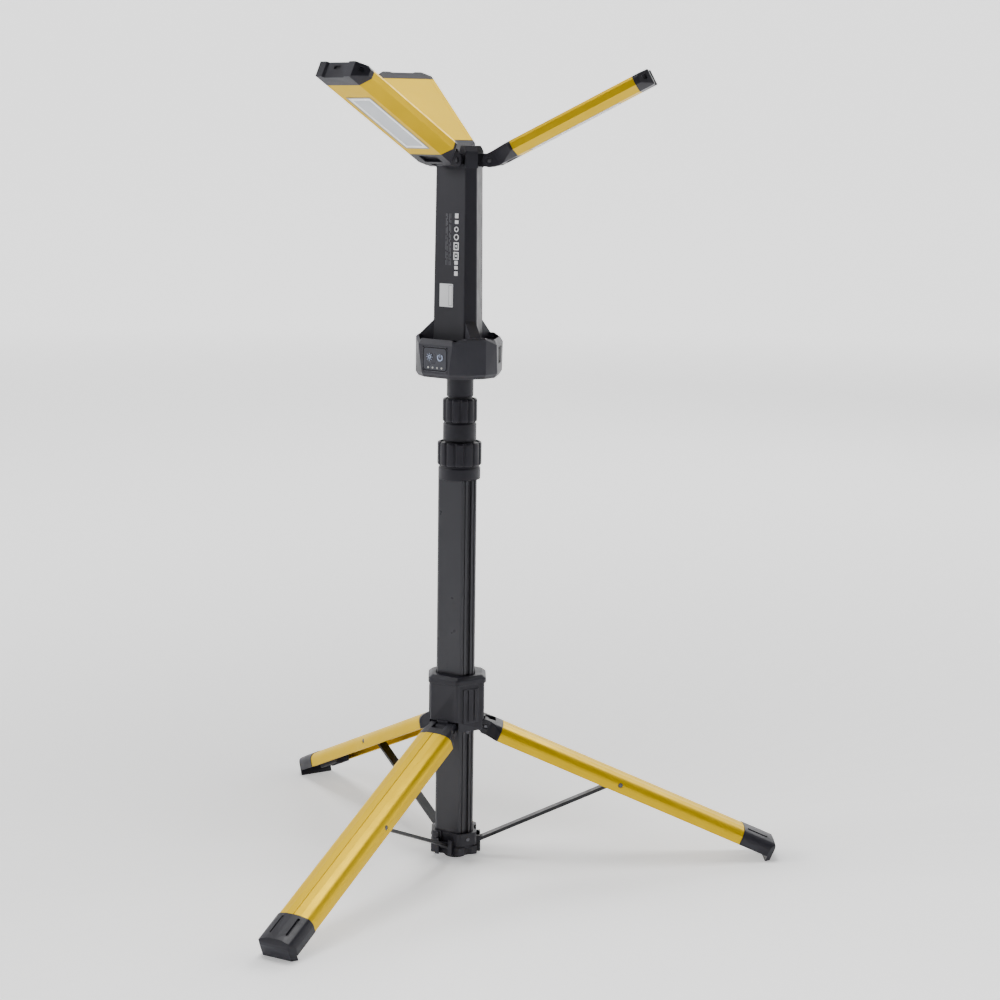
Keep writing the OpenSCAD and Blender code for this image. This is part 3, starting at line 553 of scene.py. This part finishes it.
# Screws at each corner of the mast: radius and height of the head, distance from the axis,
# height above the floor, radius and length of the shank
MAST_SCREWS = ((2.1, 1.6, 21.7, 139.5, 1.2, 4.5), (2.0, 0.6, 25.4, 23.5, 1.4, 6))

END_PLUG = ((0.5, 0), (11, 0), (12, 0.9), (12, 5), (11.4, 5.9), (15.9, 6.05), (15.9, 19.8),
            (0.5, 19.8))
LOWER_FERRULE = ((15.06, 404.5), (21.3, 404.5), (21.7, 405.2), (21.7, 415.9), (21.1, 416.9),
                 (20.4, 417.0), (20.4, 440.8), (19.2, 441.5), (15.06, 441.5))


def corner_place(angle, r, z):
    """Frame on a corner of the stand with Z pointing outwards."""
    return moved(turn("Z", angle), r, 0, z) @ turn("Y", 90)


def build_stand():
    """Mast with its plug, base ring, screws and ferrule, and the sliding collar."""
    soften("mast_profile", 0.35)
    turned("mast_end_plug_foot", "mast", "black_rubber", END_PLUG, ("mast_end_plug",), edge=0.3,
           closed=False)
    soften("base_ring", 0.5)
    heads = [(r, height, corner_place(angle, out, z), shank_r, shank)
             for angle in CORNERS
             for r, height, out, z, shank_r, shank in MAST_SCREWS]
    screws("mast_screw_set", "mast", heads, ("mast_screws",))
    turned("lower_lock_ferrule_ring", "mast", "black_plastic", LOWER_FERRULE,
           ("lower_lock_ferrule",), edge=0.35)
    soften("slide_collar", 0.6)
    soften("collar_top_rim", 0.7, 3)
    pins("leg_hinge_pin_set", "collar", [leg_frame(s) for s in SPOKES], 12.9,
         ("leg_hinge_pins",))


def build_legs():
    """Channel, root cap, foot and strut pin of each leg, and its strut."""
    for spoke in SPOKES:
        body = f"leg_{spoke}"
        pin_place = leg_frame(spoke) @ Matrix.Translation((STRUT_PIN_AT, 0, 0))
        soften(f"{body}_channel", 0.35)
        soften(f"{body}_root_cap", 0.6)
        soften(f"{body}_foot", 0.7)
        pins(f"{body}_strut_pin_rod", body, [pin_place], 19.8, (f"{body}_strut_pin",))
        soften(f"strut_{spoke}", 0.4)


# ---- Telescopic tubes and twist locks -----------------------------------------------

UPPER_FERRULE = ((15.01, 444), (16.7, 444), (17.2, 444.6), (17.2, 461.4), (16.4, 462.5),
                 (15.2, 462.6), (15.2, 485.2), (14.2, 486), (12.56, 486), (12.56, 446.05),
                 (15.01, 446.05))

# Twist rings, in millimetres: rounding of the rims, height of one ring of faces, half width and
# softness of a groove, and rise of a lobe in its middle
LOCK_EDGE = 1.5
LOCK_STEP = 2.5
GROOVE_HALF = 1.15
GROOVE_SOFT = 0.18
LOBE_CROWN = 0.35


def twist_lock(name, body, node, r, bore, low, high, lobes, groove):
    """Ribbed twist ring: wide lobes with narrow grooves between them."""
    inset = LOCK_EDGE * 0.7
    profile = fillet([(bore, low), (r - inset, low), (r, low + LOCK_EDGE),
                      (r, high - LOCK_EDGE), (r - inset, high), (bore, high)],
                     [0.2, 0.8, 1.2, 1.2, 0.8, 0.2], 5)
    tall = [profile[0]]
    for a, b in zip(profile, profile[1:]):
        steps = max(1, int(abs(b[1] - a[1]) / LOCK_STEP))
        tall += [(a[0] + (b[0] - a[0]) * k / steps, a[1] + (b[1] - a[1]) * k / steps)
                 for k in range(1, steps + 1)]

    def radius(rr, z, a):
        """Radius of the ribbed surface. The bore stays round."""
        outer = min(1.0, max(0.0, (rr / MM - bore - 0.6) / 1.2))
        phase = (a * lobes / (2 * math.pi)) % 1.0
        off = min(phase, 1 - phase) * 2 * math.pi * r / lobes
        cut = 1 / (1 + math.exp((off - GROOVE_HALF) / GROOVE_SOFT))
        crown = LOBE_CROWN * math.cos(math.pi * (phase - 0.5)) ** 2
        return rr - outer * (groove * cut + LOBE_CROWN - crown) * MM

    bm = bmesh.new()
    lathe(bm, millimetres(tall), segments=lobes * 28, radius=radius)
    return piece(bm, name, body, "black_plastic", (node,), angle=50)


def build_tubes():
    """Both telescopic tubes with their bushes, and the two twist locks."""
    twist_lock("lower_lock_grip", "lower_lock", "lower_lock_collar", 23, 20.45, 419, 443, 14,
               1.3)
    sleeve("middle_tube_wall", "middle", "black_anodised", "middle_tube", 13.8, 15, 60, 446,
           0.25)
    sleeve("middle_tube_bush_ring", "middle", "frame_plastic", "middle_tube_bush", 15.01, 15.95,
           62, 84, 0.2)
    turned("upper_lock_ferrule_ring", "middle", "black_plastic", UPPER_FERRULE,
           ("upper_lock_ferrule",), edge=0.3)
    twist_lock("upper_lock_grip", "upper_lock", "upper_lock_collar", 18, 15.25, 463.7, 487.4, 12,
               1.1)
    sleeve("upper_tube_wall", "upper", "black_anodised", "upper_tube", 11.3, 12.5, 80, 535,
           0.25)
    sleeve("upper_tube_bush_ring", "upper", "frame_plastic", "upper_tube_bush", 12.51, 13.75,
           82, 102, 0.2)


# ---- Lamp body ----------------------------------------------------------------------

# Control panel, in millimetres: distance from the axis, heights above the floor of its middle,
# the buttons and the charge lights, and the spacing of buttons and lights
PANEL_OUT = 40.8
PANEL_Z = 530.2
BUTTON_Z = 532.2
CHARGE_Z = 521.6
BUTTON_SIDE = 6.85
CHARGE_PITCH = 5.8
ICON_SIZE = 4.1
BUTTON_CAP = ((4.49, 36.2), (4.49, 40.9), (4.2, 41.18), (1.6, 41.22), (1.6, 36.2))

# Label, in millimetres: the face it lies on leans in by LABEL_DRAFT over LABEL_RUN. Its blocks
# stand in one column and its bars in four
LABEL_OUT = 18.62
LABEL_Z = 632
LABEL_DRAFT = 1.6
LABEL_RUN = 172
INK = 0.12
LINE_INK = 0.16
PLATE_SPOT = (-3.9, -39)
STRIP_SPOT = (1.6, -39)
SIGN_X = 8
SQUARE_SIGNS = (1.0, 10.6)
ROUND_SIGNS = ((19.6, 3.1), (27.4, 2.7))
BLOCK_X = 8.2
BLOCKS = ((-16.6, 4.4), (-10.8, 3.4), (-5.8, 3.8), (34.6, 3.6), (40.8, 4.8))
BAR_COLUMNS = (-5.2, -3.6, -0.9, 0.7)
BAR_ROWS = 7
BAR_TOP = 43.0
BAR_GAP = 1.6

SPIGOT = ((12.56, 489.5), (13.1, 489.5), (13.7, 490.2), (13.7, 513.5), (20, 513.5), (20, 517),
          (15.4, 517), (15.4, 538.5), (0.4, 538.5), (0.4, 535.4), (12.56, 535.4))


def sun_icon(bm, place, r, low, high):
    """Level icon: a ring with eight rays."""
    band(bm, circle(r * 0.42, 24), circle(r * 0.24, 24), low, high, place)
    ray = [(r * 0.56, -0.17), (r * 0.95, -0.17), (r * 0.95, 0.17), (r * 0.56, 0.17)]
    for k in range(8):
        prism(bm, ray, low, high, place @ turn("Z", 45 * k))


def power_icon(bm, place, r, low, high):
    """Power icon: an open ring with a bar at its top."""
    steps = 26
    outer, inner = r * 0.86, r * 0.6
    arc = [math.radians(125 + 290 * k / steps) for k in range(steps + 1)]
    ring = [(outer * math.cos(a), outer * math.sin(a)) for a in arc]
    ring += [(inner * math.cos(a), inner * math.sin(a)) for a in reversed(arc)]
    prism(bm, ring, low, high, place)
    bar = [(-0.24, 0), (0.24, 0), (0.24, r * 0.9), (-0.24, r * 0.9)]
    prism(bm, bar, low, high, place)


def build_panel():
    """Touch panel with two round buttons and four charge lights."""
    side = lamp_side("front")
    face = on_face(side, PANEL_OUT, 0, PANEL_Z)
    bm = bmesh.new()
    prism(bm, rounded_rectangle(31.9, 24.9, 4.0, 8), -2.2, 0, face)
    piece(bm, "control_panel_face", "lamp", "button_face", ("control_panel",), bevel=0.35)
    # Thin near-black ring on the panel face: painted shadow of the seam around the panel, not a
    # real part
    bm = bmesh.new()
    band(bm, rounded_rectangle(30.6, 23.6, 3.8, 8), rounded_rectangle(29.2, 22.2, 3.3, 8),
         0, 0.1, face)
    piece(bm, "panel_shadow_ring", "lamp", "dark_gap")
    bm = bmesh.new()
    for k in range(4):
        spot = moved(face, (k - 1.5) * CHARGE_PITCH, CHARGE_Z - PANEL_Z)
        prism(bm, circle(1.0, 20), -0.3, 0.1, spot)
    piece(bm, "charge_lights", "lamp", "dot_light")
    for key, sign, icon in (("power", 1, power_icon), ("level", -1, sun_icon)):
        spot = on_face(side, 0, sign * BUTTON_SIDE, BUTTON_Z)
        body = f"{key}_key"
        turned(f"{key}_button_cap", body, "button_face", BUTTON_CAP, (f"{key}_button",), spot,
               48, edge=0.15)
        bm = bmesh.new()
        prism(bm, circle(1.8, 24), 36.3, 41.2, spot)
        piece(bm, f"{key}_button_core", body, "button_face")
        bm = bmesh.new()
        icon(bm, spot, ICON_SIZE, 41.1, 41.3)
        piece(bm, f"{key}_icon", body, "icon_light")


def build_label():
    """Rating label on one face of the housing: plain blocks and bars that stand for print."""
    lean = math.degrees(math.atan2(LABEL_DRAFT, LABEL_RUN))
    face = on_face(lamp_side("front"), LABEL_OUT, 0, LABEL_Z) @ turn("X", -lean)

    bm = bmesh.new()
    prism(bm, rounded_rectangle(17.2, 23.3, 0.5), 0, INK, moved(face, *PLATE_SPOT))
    for y in SQUARE_SIGNS:
        spot = moved(face, SIGN_X, y)
        band(bm, rounded_rectangle(6.6, 7.8, 0.4), rounded_rectangle(4.2, 5.2, 0.3), 0, INK, spot)
        prism(bm, circle(1.2, 20), 0, INK, spot)
    for y, radius in ROUND_SIGNS:
        band(bm, circle(radius, 28), circle(radius - 1, 28), 0, INK, moved(face, SIGN_X, y))
    for y, length in BLOCKS:
        prism(bm, rounded_rectangle(4.4, length, 0.5), 0, INK, moved(face, BLOCK_X, y))
    piece(bm, "label_blocks", "lamp", "label_white")

    bm = bmesh.new()
    band(bm, rounded_rectangle(4.6, 20.6, 0.4), rounded_rectangle(3.8, 19.8, 0.3), INK, LINE_INK,
         moved(face, *STRIP_SPOT))
    for column, x in enumerate(BAR_COLUMNS):
        y = BAR_TOP
        for row in range(BAR_ROWS):
            length = 3.0 + (5 * row + 3 * column) % 7
            prism(bm, rounded_rectangle(0.5, length, 0.2, 2), 0, INK,
                  moved(face, x, y - 0.5 * length))
            y -= length + BAR_GAP
    piece(bm, "label_lines", "lamp", "print_grey")


def build_lamp():
    """Swivel socket, control box, housing and cap, with their screws, pins, panel and label."""
    turned("head_spigot_sleeve", "lamp", "black_plastic", SPIGOT, ("head_spigot",), edge=0.3)
    soften("lamp_housing", 0.7, 3, angle=20)
    soften("control_box", 0.8, 3, angle=20)
    soften("box_base_plate", 0.6)
    soften("top_cap", 0.5)
    heads = []
    for angle in CORNERS:
        spin = turn("Z", angle) @ lamp_side("right")
        heads.append((2.6, 1.6, moved(spin, 18, 0, 734.1), 1.5, 13))
        heads.append((1.65, 0.5, moved(spin, 34, 0, 511.6) @ turn("X", 180), 1.6, 0.2))
    screws("housing_screw_set", "lamp", heads, ("housing_screws",))
    pins("head_hinge_pin_set", "lamp", [head_frame(s) for s in SPOKES], 16.4,
         ("head_hinge_pins",))
    build_panel()
    build_label()


# ---- Heads --------------------------------------------------------------------------

# Lens and board, in millimetres. The tray is a closed skin: (length, width, height) of its loops
LENS_LONG = 99.6
LENS_WIDE = 30.2
TRAY = ((LENS_LONG - 1, LENS_WIDE - 1, -1.8), (LENS_LONG - 18, LENS_WIDE - 13, -5.2),
        (LENS_LONG - 16, LENS_WIDE - 11, -5.6), (LENS_LONG + 1, LENS_WIDE + 1, -2.0))
CHIP_COLUMNS = 12
CHIP_SPAN = 92
CHIP_SIDE = 6
CHIP_PARTS = (("packages", 2.8, -6.5, -5.8, "frame_plastic"),
              ("phosphor", 2.0, -5.8, -5.7, "led_chip"))


def lens_place(spoke):
    """Frame of the lens face: origin at its middle, X along the head, Z out of the face."""
    return head_frame(spoke) @ Matrix.Translation(LENS_MIDDLE) @ turn("X", 180)


def lens_outline(extra, radius):
    """Outline of the lens, made larger all round by half the extra size."""
    return rounded_rectangle(LENS_LONG + extra, LENS_WIDE + extra, radius)


def build_lens(spoke):
    """Milky cover with a raised rim, a dark seal around it and a white tray behind it."""
    body = f"head_{spoke}"
    face = lens_place(spoke)
    bm = bmesh.new()
    prism(bm, lens_outline(0, 1.2), -1.3, 0.05, face)
    piece(bm, f"{body}_lens_cover", body, "diffuser", (f"{body}_lens",), bevel=0.15)
    bm = bmesh.new()
    band(bm, lens_outline(0, 1.2), lens_outline(-2.4, 0.6), 0.04, 0.38, face)
    piece(bm, f"{body}_lens_rim", body, "lens_rim", bevel=0.1)
    bm = bmesh.new()
    band(bm, lens_outline(-2.6, 0.6), rounded_rectangle(LENS_LONG - 11, LENS_WIDE - 9.5, 1.5),
         0.05, 0.12, face)
    piece(bm, f"{body}_lens_border", body, "reflector")
    bm = bmesh.new()
    band(bm, lens_outline(0.3, 1.3), lens_outline(0, 1.2), -1.7, -0.12, face)
    piece(bm, f"{body}_lens_seal", body, "black_rubber")
    bm = bmesh.new()
    closed_loops(bm, [(rounded_rectangle(long, wide, 1.5), z) for long, wide, z in TRAY], face)
    piece(bm, f"{body}_tray", body, "reflector")


def build_led_board(spoke):
    """Circuit board with two rows of chips, each with a yellow phosphor window."""
    body = f"head_{spoke}"
    face = lens_place(spoke)
    bm = bmesh.new()
    prism(bm, rounded_rectangle(99.8, 34.4, 1.0), -8.1, -6.5, face)
    piece(bm, f"{body}_led_plate", body, "circuit_board", (f"{body}_led_board",), bevel=0.1)
    for part, size, low, high, material in CHIP_PARTS:
        bm = bmesh.new()
        for column in range(CHIP_COLUMNS):
            along = (column - (CHIP_COLUMNS - 1) / 2) * CHIP_SPAN / (CHIP_COLUMNS - 1)
            for row in (-1, 1):
                prism(bm, rounded_rectangle(size, size, 0.3, 2), low, high,
                      moved(face, along, row * CHIP_SIDE))
        piece(bm, f"{body}_{part}", body, material)


def build_heads():
    """Channel, caps, lens and board of each head."""
    for spoke in SPOKES:
        body = f"head_{spoke}"
        soften(f"{body}_channel", 0.5, 3, angle=20)
        soften(f"{body}_root_cap", 0.7, 3)
        soften(f"{body}_tip_cap", 0.8, 3)
        build_lens(spoke)
        build_led_board(spoke)


# ---- CAD nodes that still show or sit inside ----------------------------------------

def dress_nodes():
    """Material of its slot for each CAD node."""
    for node, obj in frame["nodes"].items():
        obj.data.materials.clear()
        obj.data.materials.append(MATERIALS[SLOT_OF[node]])


# ---- Stage --------------------------------------------------------------------------

def add_floor():
    """Pale floor that curves up into a round backdrop. Its shade and glow run along Y."""
    wall = FLOOR_RADIUS + FLOOR_CURVE
    inner = 0.01
    profile = [(inner, -FLOOR_DROP)]
    for degrees in range(0, 91, 9):
        a = math.radians(degrees)
        profile.append((FLOOR_RADIUS + FLOOR_CURVE * math.sin(a),
                        FLOOR_CURVE - FLOOR_CURVE * math.cos(a)))
    profile += [(wall, WALL_TOP), (wall + PAPER, WALL_TOP), (wall + PAPER, -PAPER),
                (inner, -PAPER)]
    bm = bmesh.new()
    lathe(bm, profile)
    mesh = from_bmesh(bm, "floor")
    mesh.shade_smooth()
    floor = bpy.data.objects.new("floor", mesh)
    bpy.context.scene.collection.objects.link(floor)
    s = Shader("floor_paper")
    s.set(Roughness=0.9, Specular_IOR_Level=0.2, Emission_Color=(1, 1, 1, 1))
    axes = s.add("ShaderNodeSeparateXYZ")
    s.link(s.coords, axes.inputs["Vector"])
    for (near, far), (start, end), target in ((STAGE_GLOW, GLOW_SPAN, "Emission Strength"),
                                              (STAGE_GREY, GREY_SPAN, "Base Color")):
        run = s.add("ShaderNodeMapRange")
        run.inputs["From Min"].default_value = start
        run.inputs["From Max"].default_value = end
        run.inputs["To Min"].default_value = near
        run.inputs["To Max"].default_value = far
        s.link(axes.outputs["Y"], run.inputs["Value"])
        s.link(run.outputs["Result"], s.surface.inputs[target])
    mesh.materials.append(s.material)


def add_lights():
    """White sky and soft studio lights."""
    world = bpy.data.worlds.new("studio")
    world.use_nodes = True
    sky = world.node_tree.nodes["Background"]
    sky.inputs["Color"].default_value = (1.0, 1.0, 1.0, 1)
    sky.inputs["Strength"].default_value = WORLD_STRENGTH
    bpy.context.scene.world = world
    aim = Vector(LIGHTS_AIM)
    for name, place, size, power in LIGHTS:
        data = bpy.data.lights.new(name, "AREA")
        data.size = size
        data.energy = power
        light = bpy.data.objects.new(name, data)
        bpy.context.scene.collection.objects.link(light)
        light.location = place
        light.rotation_euler = (aim - Vector(place)).to_track_quat("-Z", "Y").to_euler()


build_stand()
build_legs()
build_tubes()
build_lamp()
build_heads()
dress_nodes()
add_floor()
add_lights()
